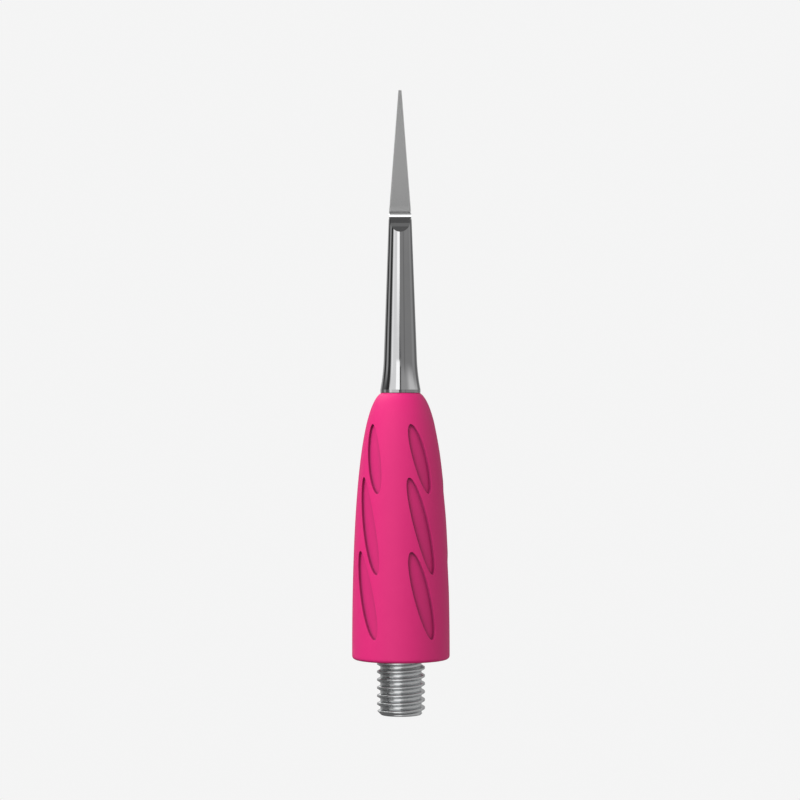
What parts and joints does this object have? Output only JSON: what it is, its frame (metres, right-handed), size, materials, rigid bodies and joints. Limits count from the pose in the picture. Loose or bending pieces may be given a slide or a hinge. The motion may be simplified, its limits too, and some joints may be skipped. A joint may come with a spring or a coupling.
{
  "type": "dental elevator head",
  "caption": "Screw-in dental elevator head: flat tapering blade on a polished round shank, moulded finger grip with slanted pockets and a threaded stud.",
  "frame": {"origin": "centre of the seat face, where the head meets its handle, on the stud's axis", "axes": "+Z along the stud's axis towards the blade's tip, the stud points along -Z, and the flat of the blade faces -Y and +Y"},
  "size_m": [0.0122, 0.0122, 0.078],
  "materials": {
    "ground_steel": "fine satin grind",
    "polished_steel": "mirror polished stainless steel",
    "pink_silicone": "smooth satin moulded silicone",
    "turned_steel": "fine turned",
    "satin_steel": "satin rolled thread",
    "seal_rubber": "moulded seal ring"
  },
  "bodies": {
    "root": {"blade": "ground_steel", "shank": "polished_steel", "grip": "pink_silicone", "core": "turned_steel", "stud": "satin_steel", "shank_pin": "turned_steel", "stud_pin": "turned_steel", "front_seal": "seal_rubber"}
  },
  "joints": []
}
